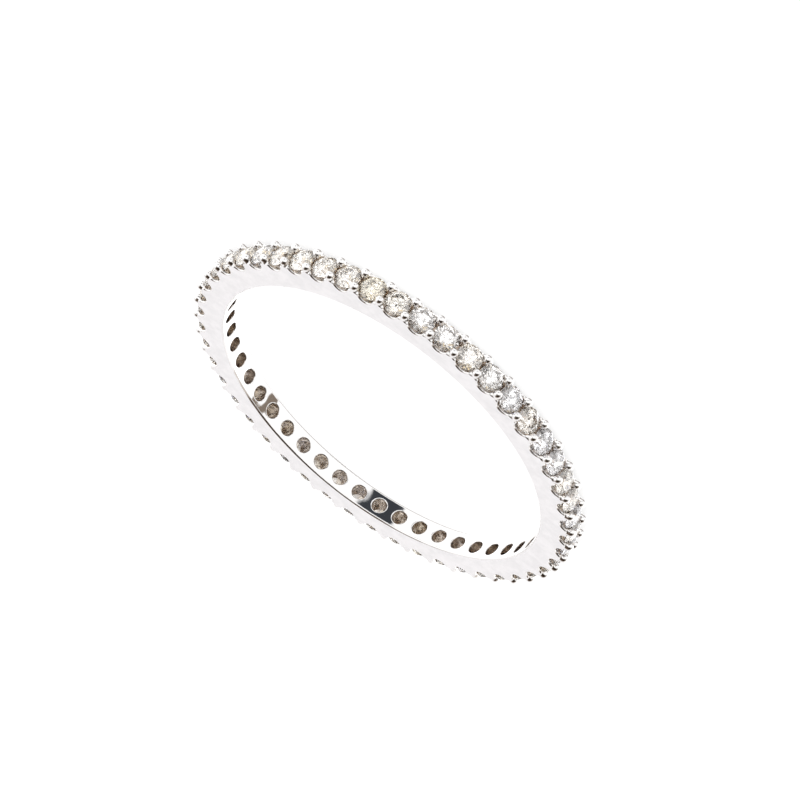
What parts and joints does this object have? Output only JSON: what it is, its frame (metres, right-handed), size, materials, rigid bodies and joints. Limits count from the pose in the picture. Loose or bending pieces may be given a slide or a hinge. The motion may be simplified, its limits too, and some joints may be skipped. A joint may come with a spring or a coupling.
{
  "type": "eternity ring",
  "caption": "Narrow full eternity ring: a plain inner wall with round windows, and small round stones all the way round, held by shared bead prongs over U notches.",
  "frame": {"origin": "centre of the finger hole on the plane that the ring rests on, its lower side face", "axes": "+Z along the finger hole, away from the surface; +X through the middle of the first stone"},
  "size_m": [0.0206, 0.0206, 0.0013],
  "materials": {
    "white_gold": "rhodium-bright white gold, polished inside and on the beads, finely satin on the side faces",
    "diamond": "clear faceted stones, a few with a faint warm tint"
  },
  "bodies": {
    "root": {"band": "white_gold", "stones": "diamond"}
  },
  "joints": []
}
